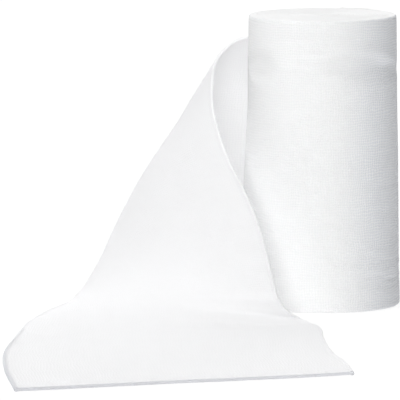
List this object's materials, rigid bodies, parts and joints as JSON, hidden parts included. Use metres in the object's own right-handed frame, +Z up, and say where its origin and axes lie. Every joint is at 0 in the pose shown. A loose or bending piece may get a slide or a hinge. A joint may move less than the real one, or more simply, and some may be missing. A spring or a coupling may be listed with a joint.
{
  "type": "gauze bandage roll",
  "caption": "Wound roll of white open-weave gauze bandage standing on its end, its loose end swung round beside it and draped forward to lie on the surface.",
  "frame": {"origin": "centre of the roll's flat base, on the surface that it stands on", "axes": "+Z up along the roll's axis, -Y towards the side where the loose end lies, +X to the right seen from that side"},
  "size_m": [0.1328, 0.2301, 0.1],
  "materials": {
    "gauze": "matte bleached cotton gauze, open plain weave"
  },
  "bodies": {
    "root": {"roll": "gauze", "loose_end": "gauze"}
  },
  "joints": []
}
